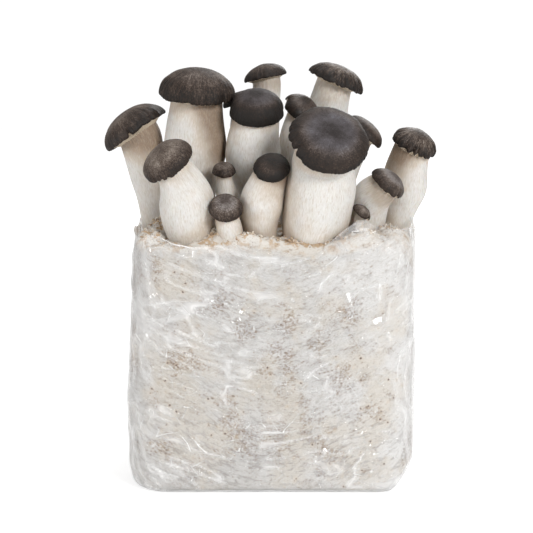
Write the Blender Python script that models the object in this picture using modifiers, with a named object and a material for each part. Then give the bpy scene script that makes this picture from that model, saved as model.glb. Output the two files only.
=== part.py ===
"""Grow kit: a block of substrate in a clear film bag, with a cluster of king oyster mushrooms on top.

Metres, +Z up. The front faces -Y, and the origin is at the centre of the bag's underside.
Each mushroom is a stem and a cap. The stems stand on the flat top of the block.
"""
import math

import bmesh
import bpy
from mathutils import Matrix, Vector, noise

MM = 0.001

# The block and its bag
BAG_WIDTH = 201 * MM
BAG_DEPTH = 131 * MM
FILM = 0.8 * MM                 # thickness of the film with its folds
CLEARANCE = 0.4 * MM            # gap kept between pieces that touch
BLOCK_TOP = 176 * MM
CORNER_RADIUS = 27 * MM         # upright corners
BOTTOM_RADIUS = 8 * MM
SHOULDER_RADIUS = 9 * MM
BLOCK_LUMP = 2.2 * MM           # depth of the hollows in the block's sides
LUMPS_PER_METRE = 28
FILM_BULGE = 1.2 * MM           # how far the film stands off the block
BULGES_PER_METRE = 35
FADE = 20 * MM                  # lumps and bulges fade out over this height at top and bottom
SLUMP_WIDTH = 19 * MM           # the slope that cuts off the right-hand bottom edge
SLUMP_HEIGHT = 23 * MM
CORNER_STEPS = 4
EDGE_STEPS = 2
ROW_SHARES = (0.16, 0.28, 0.4, 0.52, 0.64, 0.76, 0.88)
COLUMN_SHARES = (-0.32, -0.19, -0.06, 0.06, 0.19, 0.32)
SIDE_SHARES = (-0.12, 0.12)
BAG_RIM = 181 * MM              # usual height of the cut edge of the film
# Where the cut edge leaves its usual height: x, y of the place, its reach and the height added
RIM_SWELLS = [
    (-100, 40, 45, 2), (-60, -65, 30, -3), (-5, -65, 45, -7), (25, -65, 25, -5),
    (62, -65, 22, 10), (100, -20, 40, -2), (95, 55, 40, 4),
]

# The mushrooms, in millimetres and degrees. x and y are as above, and z is the height above the
# block's top. A cap has the centre of its rim, its radius and dome height, how pointed its outline
# is (1 is an ellipse, and less is fuller), how far it tilts and towards where (0 is +X, -90 the
# front). A stem has the radius of its neck, under the cap, and its stations from the foot up, each
# with x, y, z and radius.
MUSHROOMS = [
    ("far_left", (-99, 18, 73), 25.5, 16, 1.05, 35, 178, 15.5,
     [(-85, 23, 0, 9.5), (-88.5, 22, 21, 10), (-91, 21, 37, 12.2), (-93.5, 19, 56, 14.7)]),
    ("tall_left", (-54, 8, 99), 27.5, 19, 0.95, 9, -61, 18.5,
     [(-54.5, 8, 0, 9.5), (-55.5, 8, 27, 14.5), (-56, 8, 44, 19.5), (-55.5, 8, 61, 22.5),
      (-55.5, 8, 77, 21)]),
    ("front_left", (-71, -48, 56.5), 19, 12, 0.9, 41, -141, 12,
     [(-57, -36, 0, 14), (-57, -37, 6, 17), (-58.5, -39, 19, 19), (-59.5, -41, 31, 19),
      (-63, -43, 42, 15.5)]),
    ("centre", (-11, -8, 88), 20, 15.5, 0.92, 26, -89, 16,
     [(-12, 0, 0, 8.5), (-11.5, -1, 27, 12.5), (-12.5, -2, 39, 15.5), (-13.5, -3, 54, 20),
      (-13.5, -4, 67, 19)]),
    ("back_small", (-4.5, 51, 110), 16.5, 10, 1.1, 13, 170, 10.5,
     [(-6, 48, 0, 8.5), (-6, 49, 40, 10), (-5, 50, 71, 10.5)]),
    ("back_right", (47, 44, 107.5), 21.5, 12, 1, 23, -8, 13.5,
     [(37, 41, 0, 10.5), (38, 42, 34, 14.5), (39.5, 43, 60, 16.5), (41, 44, 84, 15.5)]),
    ("back_middle", (20.5, 14, 88.5), 14, 9.5, 1, 39, -48, 7.5,
     [(14, 18, 0, 7.5), (13, 17, 44, 8.5), (13.5, 16, 66, 8.5)]),
    ("large", (38, -58, 72), 28, 13, 0.95, 46, -76, 20,
     [(25, -36, 0, 17), (28, -36, 7, 22), (30.5, -36, 18, 24), (32, -37, 29, 24.5),
      (34, -39, 41, 24.5), (35.5, -44, 57, 21.5)]),
    ("behind_large", (66.5, 4, 73), 16.5, 9, 1, 43, -4, 9,
     [(46, 12, 0, 8), (50, 10, 30, 9), (55, 7, 47, 8.5)]),
    ("front_middle", (-0.5, -46, 52), 12.8, 7.5, 0.9, 43, -90, 11,
     [(-9, -37, 0, 11), (-9, -39, 14, 13), (-8, -40, 25, 15), (-6.5, -41, 33, 14.5)]),
    ("tiny_upper", (-34, -26, 47.5), 8.5, 6.5, 0.9, 21, -88, 5,
     [(-30, -23, 0, 6.5), (-31.5, -24, 27, 8), (-33, -24, 37, 6.5)]),
    ("tiny_front", (-32, -54, 25), 12, 8, 0.9, 38, -88, 7.5,
     [(-27, -49, 0, 8), (-29, -50, 8, 9), (-30.5, -51, 15, 8.5)]),
    ("far_right", (101.5, 1, 64), 16.5, 10.5, 1, 31, -45, 13,
     [(87, 6, 0, 9), (92.5, 6, 17, 12), (94.5, 5, 31, 17), (95, 4, 45, 17)]),
    ("right_front", (80.3, -30, 39), 13.5, 9, 0.9, 42, -23, 11,
     [(67, -14, 0, 11.5), (67.5, -17, 14, 13.5), (69.5, -20, 27, 14), (74, -25, 33.5, 13)]),
    ("tiny_right", (62, -38, 20), 7.5, 5, 0.95, 40, -17, 3.5,
     [(60.5, -34, 0, 4), (60.5, -35, 9, 4)]),
    ("behind_centre", (-22.5, 33, 93), 14.5, 7.5, 0.9, 16, -178, 7.5,
     [(-23, 38, 0, 7.5), (-23, 36, 42, 8), (-23, 34, 72, 8)]),
]
STEM_OVERLAP = 2 * MM           # a stem is drawn this far into its cap, then cut square
STEM_STEPS = 2                  # lengths of tube from one station to the next
LARGE_CAP = 18                  # caps with a larger radius get finer solids
LARGE_CAP_STEPS = 20
SMALL_CAP_STEPS = 14
LARGE_STEM_ROUNDNESS = 4        # 12 sides
SMALL_STEM_ROUNDNESS = 3        # 10 sides
DOME_TURNS = (30, 55, 78)       # degrees from the top of the dome to its rim
ROOT_DEPTH = 3 * MM             # a stem is drawn this far into the block, then cut flat
FOOT_GAP = 0.3 * MM             # the stem's foot above the block, and its top below the cap
GILL_DEPTH_RATIO = 0.14         # height of the gills below the rim, as a share of the radius
MARGIN_START = 0.75             # the wavy edge begins at this share of the cap's radius
MARGIN_WAVE = 0.05              # how far a cap's edge waves, as a share of its radius
MERGE = 0.01 * MM
SHARP_ANGLE = math.radians(40)

# Pieces that grew pressed against a neighbour: the piece that gives way, and the neighbour
PRESSED = [("cap_tiny_right", "stem_right_front")]


def clear_scene():
    for item in list(bpy.data.objects):
        bpy.data.objects.remove(item, do_unlink=True)


def new_collection(name):
    collection = bpy.data.collections.new(name)
    bpy.context.scene.collection.children.link(collection)
    return collection


def make_material(name, colour, roughness):
    material = bpy.data.materials.new(name)
    material.use_nodes = True
    shader = material.node_tree.nodes["Principled BSDF"]
    shader.inputs["Base Color"].default_value = (*colour, 1)
    shader.inputs["Roughness"].default_value = roughness
    shader.inputs["Metallic"].default_value = 0
    return material


def add_object(name, mesh, collection, material, parent):
    piece = bpy.data.objects.new(name, mesh)
    collection.objects.link(piece)
    piece.parent = parent
    mesh.materials.clear()
    mesh.materials.append(material)
    mesh.shade_smooth()
    mesh.set_sharp_from_angle(angle=SHARP_ANGLE)
    return piece


def evaluated_mesh(piece):
    """The piece's mesh with its modifiers or bevel applied, and the piece itself removed."""
    bpy.context.view_layer.update()
    graph = bpy.context.evaluated_depsgraph_get()
    mesh = bpy.data.meshes.new_from_object(piece.evaluated_get(graph))
    bpy.data.objects.remove(piece, do_unlink=True)
    return mesh


# ---------------------------------------------------------------- block and bag

def wrapped_box(width, depth, bottom, top, top_radius):
    """A box with rounded upright corners and bottom edges, cut into even rows and columns."""
    bm = bmesh.new()
    bmesh.ops.create_cube(bm, size=1)
    bmesh.ops.scale(bm, vec=(width, depth, top - bottom), verts=bm.verts)
    bmesh.ops.translate(bm, vec=(0, 0, (top + bottom) / 2), verts=bm.verts)
    upright = [edge for edge in bm.edges if abs(edge.verts[0].co.z - edge.verts[1].co.z) > MM]
    bmesh.ops.bevel(bm, geom=upright, offset=CORNER_RADIUS, segments=CORNER_STEPS, profile=0.5,
                    affect="EDGES")
    for level, radius in ((bottom, BOTTOM_RADIUS), (top, top_radius)):
        if radius:
            ring = [edge for edge in bm.edges
                    if all(abs(vert.co.z - level) < MERGE for vert in edge.verts)]
            bmesh.ops.bevel(bm, geom=ring, offset=radius, segments=EDGE_STEPS, profile=0.5,
                            affect="EDGES")
    rows = [bottom + (top - bottom) * share for share in ROW_SHARES]
    columns = [width * share for share in COLUMN_SHARES]
    sides = [depth * share for share in SIDE_SHARES]
    for normal, places in (((0, 0, 1), rows), ((1, 0, 0), columns), ((0, 1, 0), sides)):
        for place in places:
            whole = list(bm.verts) + list(bm.edges) + list(bm.faces)
            bmesh.ops.bisect_plane(bm, geom=whole, plane_co=Vector(normal) * place, plane_no=normal)
    return bm


def swell_sides(bm, bottom, top, amount, per_metre):
    """Moves the sides outwards by smooth noise from 0 to the amount, or inwards if it is negative."""
    bm.normal_update()
    outward = {vert: Vector((vert.normal.x, vert.normal.y, 0)) for vert in bm.verts}
    for vert in bm.verts:
        share = max(0, min(1, (vert.co.z - bottom) / FADE, (top - vert.co.z) / FADE))
        swell = max(0, min(1, 0.5 + noise.noise(vert.co * per_metre)))
        vert.co += outward[vert] * amount * share * swell


def slump_edge(bm, inset):
    """Cuts off the right-hand bottom edge with a slope, the inset behind the bag's own slope."""
    outward = Vector((SLUMP_HEIGHT, 0, -SLUMP_WIDTH)).normalized()
    place = Vector((BAG_WIDTH / 2, 0, SLUMP_HEIGHT)) - outward * inset
    whole = list(bm.verts) + list(bm.edges) + list(bm.faces)
    cut = bmesh.ops.bisect_plane(bm, geom=whole, plane_co=place, plane_no=outward, clear_outer=True)
    loop = [item for item in cut["geom_cut"] if isinstance(item, bmesh.types.BMEdge)]
    bmesh.ops.edgeloop_fill(bm, edges=loop)


def make_block(collection, parent):
    inset = FILM + CLEARANCE
    bm = wrapped_box(BAG_WIDTH - 2 * inset, BAG_DEPTH - 2 * inset, inset, BLOCK_TOP, SHOULDER_RADIUS)
    swell_sides(bm, inset, BLOCK_TOP, -BLOCK_LUMP, LUMPS_PER_METRE)
    slump_edge(bm, inset)
    mesh = bpy.data.meshes.new("substrate_block")
    bm.to_mesh(mesh)
    bm.free()
    material = make_material("substrate_block", (0.62, 0.56, 0.47), 0.9)
    return add_object("substrate_block", mesh, collection, material, parent)


def rim_height(point):
    height = BAG_RIM
    for x, y, reach, rise in RIM_SWELLS:
        distance = math.hypot(point.x - x * MM, point.y - y * MM) / (reach * MM)
        height += rise * MM * math.exp(-distance * distance)
    return height


def make_bag(collection, parent):
    """The inner face of the film is drawn, and Solidify thickens it outwards."""
    bm = wrapped_box(BAG_WIDTH - 2 * FILM, BAG_DEPTH - 2 * FILM, FILM, BAG_RIM, 0)
    lid = [face for face in bm.faces if face.normal.z > 0.9]
    bmesh.ops.delete(bm, geom=lid, context="FACES")
    swell_sides(bm, FILM, BAG_RIM + FADE, FILM_BULGE, BULGES_PER_METRE)
    slump_edge(bm, FILM)
    for vert in bm.verts:
        if vert.co.z > BAG_RIM - MERGE:
            vert.co.z = rim_height(vert.co)
    mesh = bpy.data.meshes.new("film_bag")
    bm.to_mesh(mesh)
    bm.free()
    material = make_material("film_bag", (0.88, 0.88, 0.86), 0.25)
    bag = add_object("film_bag", mesh, collection, material, parent)
    shell = bag.modifiers.new("film", "SOLIDIFY")
    shell.thickness = FILM
    shell.offset = 1
    shell.use_even_offset = True
    return bag


# ---------------------------------------------------------------- mushrooms

def cap_matrix(centre, tilt, heading):
    """Places a cap drawn upright at the origin: tilted, then turned towards its heading."""
    turn = Matrix.Rotation(math.radians(heading), 4, "Z") @ Matrix.Rotation(math.radians(tilt), 4, "Y")
    return Matrix.Translation(Vector(centre) * MM + Vector((0, 0, BLOCK_TOP))) @ turn


def smooth_path(stations, steps):
    """Points with radii on a Catmull-Rom curve through the stations."""
    ends = [[2 * a - b for a, b in zip(stations[0], stations[1])],
            [2 * a - b for a, b in zip(stations[-1], stations[-2])]]
    knots = [ends[0]] + [list(station) for station in stations] + [ends[1]]
    points = []
    for index in range(1, len(knots) - 2):
        before, start, end, after = knots[index - 1:index + 3]
        for step in range(steps):
            t = step / steps
            points.append([
                0.5 * (2 * b + (c - a) * t + (2 * a - 5 * b + 4 * c - d) * t * t
                       + (3 * b - a - 3 * c + d) * t * t * t)
                for a, b, c, d in zip(before, start, end, after)])
    points.append(list(stations[-1]))
    return points


def make_stem(name, stations, neck, placing, cap_radius, collection, material, parent):
    """A tube with a radius at each point, cut flat at the block and square below the cap."""
    foot = Vector((stations[0][0] * MM, stations[0][1] * MM, BLOCK_TOP))
    axis = (placing.to_3x3() @ Vector((0, 0, 1))).normalized()
    join = placing @ Vector((0, 0, -GILL_DEPTH_RATIO * cap_radius * MM)) - axis * FOOT_GAP - foot
    path = []
    for x, y, z, radius in stations:
        path.append((*(Vector((x * MM, y * MM, z * MM + BLOCK_TOP)) - foot), radius * MM))
    path[0] = (0, 0, -ROOT_DEPTH, path[0][3])
    path.append((*(join - axis * STEM_OVERLAP), neck * MM))
    path = smooth_path(path, STEM_STEPS)
    path.append((*(join + axis * STEM_OVERLAP), neck * MM))

    curve = bpy.data.curves.new(name, "CURVE")
    curve.dimensions = "3D"
    curve.bevel_depth = 1
    curve.bevel_resolution = LARGE_STEM_ROUNDNESS if cap_radius > LARGE_CAP else SMALL_STEM_ROUNDNESS
    curve.use_fill_caps = True
    spline = curve.splines.new("POLY")
    spline.points.add(len(path) - 1)
    for point, (x, y, z, radius) in zip(spline.points, path):
        point.co = (x, y, z, 1)
        point.radius = radius
    tube = bpy.data.objects.new(name, curve)
    collection.objects.link(tube)
    mesh = evaluated_mesh(tube)

    bm = bmesh.new()
    bm.from_mesh(mesh)
    bmesh.ops.remove_doubles(bm, verts=bm.verts, dist=MERGE)
    for place, outward in ((Vector((0, 0, FOOT_GAP)), Vector((0, 0, -1))), (join, axis)):
        whole = list(bm.verts) + list(bm.edges) + list(bm.faces)
        cut = bmesh.ops.bisect_plane(bm, geom=whole, plane_co=place, plane_no=outward, clear_outer=True)
        loop = [item for item in cut["geom_cut"] if isinstance(item, bmesh.types.BMEdge)]
        bmesh.ops.edgeloop_fill(bm, edges=loop)
    bmesh.ops.recalc_face_normals(bm, faces=bm.faces)
    bm.to_mesh(mesh)
    bm.free()
    stem = add_object(name, mesh, collection, material, parent)
    stem.location = foot
    return stem


def cap_profile(radius, height, pointed, neck):
    """Half of a cap's outline in the XZ plane: dome, thin rim, gills, and the join to the stem."""
    dome = [(radius * math.sin(math.radians(turn)) ** pointed,
             height * math.cos(math.radians(turn)) ** pointed) for turn in DOME_TURNS]
    depth = GILL_DEPTH_RATIO * radius
    under = [(radius, -0.02 * radius), (0.955 * radius, -0.062 * radius),
             (0.885 * radius, -0.035 * radius), (neck, -depth)]
    return [(0, height)] + dome + under + [(0, -depth)]


def wave_margin(mesh, radius, seed):
    """Pulls the cap's edge in and out, and up and down, more the nearer it is to the rim."""
    for vert in mesh.vertices:
        reach = math.hypot(vert.co.x, vert.co.y) / (radius * MM)
        share = max(0, (reach - MARGIN_START) / (1 - MARGIN_START))
        direction = Vector((vert.co.x, vert.co.y, 0)).normalized()
        wave = noise.noise(direction * 2.2 + Vector((seed, 0, 0)))
        lift = noise.noise(direction * 1.5 + Vector((0, seed, 0)))
        vert.co += (direction * wave + Vector((0, 0, lift))) * MARGIN_WAVE * radius * MM * share


def make_cap(name, placing, radius, height, pointed, neck, collection, material, parent):
    outline = [Vector((x, 0, z)) * MM for x, z in cap_profile(radius, height, pointed, neck)]
    edges = [(index, index + 1) for index in range(len(outline) - 1)]
    profile = bpy.data.meshes.new(name)
    profile.from_pydata(outline, edges, [])
    turned = bpy.data.objects.new(name, profile)
    collection.objects.link(turned)
    screw = turned.modifiers.new("turn", "SCREW")
    screw.steps = LARGE_CAP_STEPS if radius > LARGE_CAP else SMALL_CAP_STEPS
    screw.render_steps = screw.steps
    screw.use_merge_vertices = True
    screw.merge_threshold = MERGE
    mesh = evaluated_mesh(turned)
    wave_margin(mesh, radius, placing.translation.x / MM)
    cap = add_object(name, mesh, collection, material, parent)
    cap.matrix_world = placing
    return cap


# ---------------------------------------------------------------- pressing together

def clearance_copy(neighbour, collection):
    """The neighbour grown by the clearance, which cuts the piece that gives way to it."""
    mesh = neighbour.data.copy()
    bm = bmesh.new()
    bm.from_mesh(mesh)
    bm.normal_update()
    for vert in bm.verts:
        vert.co += vert.normal * CLEARANCE
    bm.to_mesh(mesh)
    bm.free()
    cutter = bpy.data.objects.new("around_" + neighbour.name, mesh)
    collection.objects.link(cutter)
    cutter.matrix_world = neighbour.matrix_world.copy()
    cutter.hide_render = True
    cutter.display_type = "WIRE"
    return cutter


def press_pieces(pieces, collection):
    for name, neighbour in PRESSED:
        cut = pieces[name].modifiers.new("pressed_by_" + neighbour, "BOOLEAN")
        cut.operation = "DIFFERENCE"
        cut.solver = "EXACT"
        cut.object = clearance_copy(pieces[neighbour], collection)


def main():
    clear_scene()
    kit = new_collection("mushroom_grow_kit")
    cutters = new_collection("cutters")
    origin = bpy.data.objects.new("kit_origin", None)
    kit.objects.link(origin)
    make_block(kit, origin)
    make_bag(kit, origin)
    pieces = {}
    for name, centre, radius, height, pointed, tilt, heading, neck, stations in MUSHROOMS:
        placing = cap_matrix(centre, tilt, heading)
        flesh = make_material("stem_" + name, (0.84, 0.80, 0.74), 0.8)
        skin = make_material("cap_" + name, (0.065, 0.055, 0.052), 0.75)
        stem = make_stem("stem_" + name, stations, neck, placing, radius, kit, flesh, origin)
        cap = make_cap("cap_" + name, placing, radius, height, pointed, neck, kit, skin, origin)
        pieces[stem.name] = stem
        pieces[cap.name] = cap
    press_pieces(pieces, cutters)


main()
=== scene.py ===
# Looks of the grow kit: king oyster mushrooms on a block of substrate in clear, wrinkled film.
# Shapes are worked out in millimetres, with the front at -Y, and become metres in add_piece.

import itertools
import math

import bmesh
import bpy
import numpy as np
from mathutils import Matrix, Vector, noise


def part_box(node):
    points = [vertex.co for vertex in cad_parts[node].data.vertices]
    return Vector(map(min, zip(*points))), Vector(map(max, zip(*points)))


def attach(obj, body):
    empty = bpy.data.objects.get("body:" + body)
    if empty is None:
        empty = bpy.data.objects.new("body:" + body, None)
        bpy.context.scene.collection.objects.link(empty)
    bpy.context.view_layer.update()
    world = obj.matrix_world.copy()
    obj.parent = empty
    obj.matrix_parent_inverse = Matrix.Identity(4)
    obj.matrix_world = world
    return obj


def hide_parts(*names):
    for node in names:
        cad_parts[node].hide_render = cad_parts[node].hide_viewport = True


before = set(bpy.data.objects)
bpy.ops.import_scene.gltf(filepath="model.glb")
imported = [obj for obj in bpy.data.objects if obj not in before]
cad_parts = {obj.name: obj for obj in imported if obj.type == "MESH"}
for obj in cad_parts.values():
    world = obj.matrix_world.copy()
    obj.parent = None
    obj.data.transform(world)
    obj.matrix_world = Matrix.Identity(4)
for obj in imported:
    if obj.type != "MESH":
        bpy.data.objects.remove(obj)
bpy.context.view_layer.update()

MM = 0.001
BODY = "root"

block_low, block_high = (np.array(corner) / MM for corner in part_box("substrate_block"))
HALF_WIDTH = block_high[0]      # of the block
HALF_DEPTH = block_high[1]
BLOCK_TOP = block_high[2]
FILM_OFFSET = 1.0               # from the block's sides to the film
CORNER_RADIUS = 27
BOTTOM_RADIUS = 8
SHOULDER_RADIUS = 8
SLUMP_WIDTH = 19                # the slope that cuts off the right-hand bottom edge
SLUMP_HEIGHT = 23
SLUMP_OUT = 1.2                 # its upper end stands out this far from the block's side
LEFT_LEAN = 2.2                 # how far the left end leans in at the top, and bellies lower down
LEFT_BELLY = 2.7
RIGHT_LEAN = 1.2                # the same for the right end
RIGHT_BELLY = 0.9
BACK_CORNER_OUT = 3.5           # how far the right-hand back corner is pulled outwards at the top

BAG_RIM = 181
FILM_BOTTOM = 0.25              # above the floor
# Where the cut edge leaves its usual height: x, y of the place, its reach and the height added. The
# first two rows are the broad swells, close to the solid's, and the others are finer ups and downs.
RIM_SWELLS = [
    (-100, 40, 45, 2), (-60, -65, 30, -3), (-5, -65, 45, -7), (25, -65, 25, -5),
    (58, -65, 22, 12), (95, 55, 40, 4),
    (-82, -62, 11, 5), (-30, -65, 11, 3.5), (2, -65, 14, 2), (28, -65, 14, -3), (60, -65, 6, 3),
    (78, -60, 6, 2), (98, 40, 14, -2), (-96, 52, 12, 2), (90, -52, 16, 8), (100, -20, 16, 6),
    (100, 0, 16, 5), (-98, -30, 14, 5),
]
# Where the cut edge is rolled outwards, in the same way, and the angles of the roll's rings
ROLL_ANGLES = (50, 100, 150, 200, 250)
ROLLED_EDGE = 0.16
ROLLS = [(-66, -65, 15, 0.45), (44, -65, 10, 0.3), (-98, 30, 25, 0.4),
         (60, 66, 40, 0.6), (-40, 66, 30, 0.5)]
# Heaps of crumbs and mycelium on the block's top: x, y, reach, height, how many crumbs lie there and
# how pale they are. Where the height is below 0, it is a dip.
HEAPS = [
    (-78, -20, 13, 14, 60, 0.5), (-88, -40, 10, 6, 24, 0.5), (-41, -46, 8, 8, 50, 0.5),
    (-14, -60, 13, 6.5, 80, 0.6), (8, -62, 12, 2, 50, 0.5), (44, -56, 8, 3, 30, 0.5),
    (26, -64, 12, -3, 0, 0.5),
    (64, -54, 13, 9, 34, 0.75), (79, -30, 13, 7, 24, 0.85), (88, -20, 12, 3, 8, 0.85),
    (-20, 20, 30, 3, 60, 0.5), (20, 40, 30, 3, 60, 0.5), (-80, 45, 20, 4, 40, 0.5),
    (80, 45, 20, 3, 40, 0.6), (0, 54, 26, 3, 50, 0.5), (-50, 50, 20, 5, 40, 0.45),
]
HEAP_SWELLS = [heap[:4] for heap in HEAPS]
# Heaps with dark brown pits: x, y, reach and strength. The white mound has x, y and reach.
DARK_HEAPS = [(-74, -24, 13, 0.6), (-41, -46, 7, 0.7), (45, -60, 6, 0.4)]
WHITE_MOUND = (74, -52, 24)
# Places on the front where the mycelium is thin and the sawdust shows: x, z and reach
THIN_PLACES = [
    (-41, 140, 11), (-62, 99, 13), (9, 94, 12), (47, 87, 10), (-2, 40, 16), (50, 130, 9),
    (-20, 119, 9), (-81, 165, 5), (-30, 70, 7), (70, 60, 8), (-75, 35, 8), (28, 55, 9),
    (14, 126, 8), (45, 74, 10), (-24, 46, 14), (38, 28, 12), (-58, 20, 10), (30, 110, 8),
]
# Places on the front where the film is crinkled: x, z and reach. Each has flat facets, of which the
# first few slope towards the key light and glint, inside a ring of others that only bound them.
CRINKLES = [(54, 140, 10), (70, 127, 9), (70, 33, 9), (39, 34, 6), (61, 49, 7), (-23, 130, 7)]
FACETS = 4
RING_FACETS = 9
GLINT_FACETS = 2
GLINT_SLOPE = (-0.24, -0.36)

# Rows of the block's and the film's grids, and the distance between points round them
BOTTOM_ROWS = 11                # flat bottom
EDGE_ROWS = 6                   # rounded bottom edge
SIDE_ROWS = 96                  # the block's sides
SHOULDER_ROWS = 8               # its rounded top edge
TOP_ROWS = 44                   # its top
FILM_ROWS = 148                 # the film's sides
BLOCK_PITCH = 1.6
FILM_PITCH = 1.15
WELD_DISTANCE = 0.02

# The mushrooms, as the solids have them, but for five caps and the far right stem, which are up to
# 1.6 mm off. A cap has the centre of its rim, its radius and dome height, how pointed its outline is
# (1 is an ellipse, and less is fuller), how far it tilts and towards where (0 is +X, -90 the front).
# A stem has the radius of its neck, under the cap, and its stations from the foot up, each with x, y,
# z and radius. Heights are above the block's top.
MUSHROOMS = [
    ("far_left", (-99, 18, 73), 26.1, 16.2, 1.05, 35, 178, 15.5,
     [(-85, 23, 0, 9.5), (-88.5, 22, 21, 10), (-91, 21, 37, 12.2), (-93.5, 19, 56, 14.7)]),
    ("tall_left", (-54, 8, 99), 27.9, 19.6, 0.95, 9, -61, 18.5,
     [(-54.5, 8, 0, 9.5), (-55.5, 8, 27, 14.5), (-56, 8, 44, 19.5), (-55.5, 8, 61, 22.5),
      (-55.5, 8, 77, 21)]),
    ("front_left", (-71, -48, 56.5), 19, 12, 0.9, 41, -141, 12,
     [(-57, -36, 0, 14), (-57, -37, 6, 17), (-58.5, -39, 19, 19), (-59.5, -41, 31, 19),
      (-63, -43, 42, 15.5)]),
    ("centre", (-11, -8, 88), 20, 15.5, 0.92, 26, -89, 16,
     [(-12, 0, 0, 8.5), (-11.5, -1, 27, 12.5), (-12.5, -2, 39, 15.5), (-13.5, -3, 54, 20),
      (-13.5, -4, 67, 19)]),
    ("back_small", (-4.5, 51, 110), 16.5, 10, 1.1, 13, 170, 10.5,
     [(-6, 48, 0, 8.5), (-6, 49, 40, 10), (-5, 50, 71, 10.5)]),
    ("back_right", (47.3, 44, 107.5), 22.1, 12, 1, 23, -8, 13.5,
     [(37, 41, 0, 10.5), (38, 42, 34, 14.5), (39.5, 43, 60, 16.5), (41, 44, 84, 15.5)]),
    ("back_middle", (20.5, 14, 88.5), 14, 9.5, 1, 39, -48, 7.5,
     [(14, 18, 0, 7.5), (13, 17, 44, 8.5), (13.5, 16, 66, 8.5)]),
    ("large", (38, -58, 72), 28, 13, 0.95, 46, -76, 20,
     [(25, -36, 0, 17), (28, -36, 7, 22), (30.5, -36, 18, 24), (32, -37, 29, 24.5),
      (34, -39, 41, 24.5), (35.5, -44, 57, 21.5)]),
    ("behind_large", (66.4, 4, 72.4), 15.9, 8.6, 1, 43, -4, 9,
     [(46, 12, 0, 8), (50, 10, 30, 9), (55, 7, 47, 8.5)]),
    ("front_middle", (-0.5, -46, 52), 12.8, 7.5, 0.9, 43, -90, 11,
     [(-9, -37, 0, 11), (-9, -39, 14, 13), (-8, -40, 25, 15), (-6.5, -41, 33, 14.5)]),
    ("tiny_upper", (-34, -26, 47.5), 8.5, 6.5, 0.9, 21, -88, 5,
     [(-30, -23, 0, 6.5), (-31.5, -24, 27, 8), (-33, -24, 37, 6.5)]),
    ("tiny_front", (-32, -54, 25), 12, 8, 0.9, 38, -88, 7.5,
     [(-27, -49, 0, 8), (-29, -50, 8, 9), (-30.5, -51, 15, 8.5)]),
    ("far_right", (101.8, 1, 64), 17.2, 10.9, 1, 31, -45, 13,
     [(87, 6, 0, 9), (92.5, 6, 17, 12), (95.3, 5, 31, 16.2), (96.6, 4, 45, 15.4)]),
    ("right_front", (80.3, -30, 39), 13.5, 9, 0.9, 42, -23, 11,
     [(67, -14, 0, 11.5), (67.5, -17, 14, 13.5), (69.5, -20, 27, 14), (74, -25, 33.5, 13)]),
    ("tiny_right", (62, -38, 20), 7.5, 5, 0.95, 40, -17, 3.5,
     [(60.5, -34, 0, 4), (60.5, -35, 9, 4)]),
    ("behind_centre", (-22.5, 33, 93), 14.5, 7.5, 0.9, 16, -178, 7.5,
     [(-23, 38, 0, 7.5), (-23, 36, 42, 8), (-23, 34, 72, 8)]),
]
# How each cap looks: tone (0 black, 1 pale brown), the bluish share of its middle, how strongly
# its radial fibres show, and how glossy it is
CAP_LOOKS = {
    "far_left": (0.32, 0.0, 0.5, 0.5), "tall_left": (0.33, 0.1, 0.6, 0.1),
    "front_left": (0.44, 0.0, 0.35, 0.2), "centre": (0.20, 0.9, 0.2, 0.1),
    "back_small": (0.29, 0.0, 0.5, 0.4), "back_right": (0.27, 0.0, 0.9, 0.4),
    "back_middle": (0.26, 0.2, 0.4, 1.0), "large": (0.31, 1.0, 0.2, 0.2),
    "behind_large": (0.28, 0.0, 0.3, 0.5), "front_middle": (0.11, 0.1, 0.3, 0.4),
    "tiny_upper": (0.40, 0.1, 0.4, 0.4), "tiny_front": (0.42, 0.35, 0.4, 0.2),
    "far_right": (0.32, 0.0, 0.9, 0.5), "right_front": (0.43, 0.4, 0.3, 0.5),
    "tiny_right": (0.42, 0.1, 0.4, 0.3), "behind_centre": (0.14, 0.0, 0.3, 0.2),
}
# Notches in the caps' edges: angle from the lowest side, width in degrees and depth
NOTCHES = {
    "far_left": [(86, 3, 2.4), (70, 5, 0.5), (112, 6, 0.5), (130, 6, 0.5)],
    "tall_left": [(20, 4, 1.0), (75, 6, 1.6), (-40, 5, 0.8)],
    "front_left": [(28, 5, 1.2), (44, 4, 0.9), (14, 5, 0.7)],
    "large": [(-72, 4, 2.4), (-88, 4, 1.0), (-104, 4, 1.2), (-55, 4, 0.8)],
    "far_right": [(-38, 4, 2.0), (-52, 4, 1.6), (-20, 5, 0.9), (10, 6, 0.7), (-75, 5, 0.8)],
    "right_front": [(-22, 6, 1.5), (-55, 7, 0.6), (30, 8, 0.6)],
    "back_right": [(-60, 5, 0.5), (60, 6, 0.5), (-85, 5, 0.5), (-35, 5, 0.5)],
    "back_middle": [(-128, 14, 4.0)],
    "tiny_right": [(-20, 12, 1.4), (30, 12, 1.2)],
    "centre": [(92, 9, 1.6), (-95, 8, 1.2)],
}
MARGIN_START = 0.75             # the wavy edge begins at this share of the cap's radius
MARGIN_WAVE = 0.05
# The rolled lip under the rim: reach and level, as shares of the cap's radius
LIP = [(1, 0), (0.993, -0.028), (0.968, -0.058), (0.94, -0.066), (0.912, -0.055), (0.885, -0.035)]
GILL_DEPTH_RATIO = 0.14         # height of the gills below the rim, as a share of the radius
GILL_SPACING = 1.6              # from one gill to the next at the rim
FEWEST_GILLS = 24
LARGE_CAP = 18                  # a cap with a larger radius has three points to a gill, not four

STEM_BURIED = 8                 # how far a stem goes down into the crust
STEM_IN_CAP = 2.5               # how far a stem goes up into its cap
STEM_PITCH = 1.5                # between a stem's rings, and between the points of a ring
STEM_COLUMN = 0.85
STEM_COLUMNS = (40, 190)        # the fewest and most points of a ring
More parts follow.
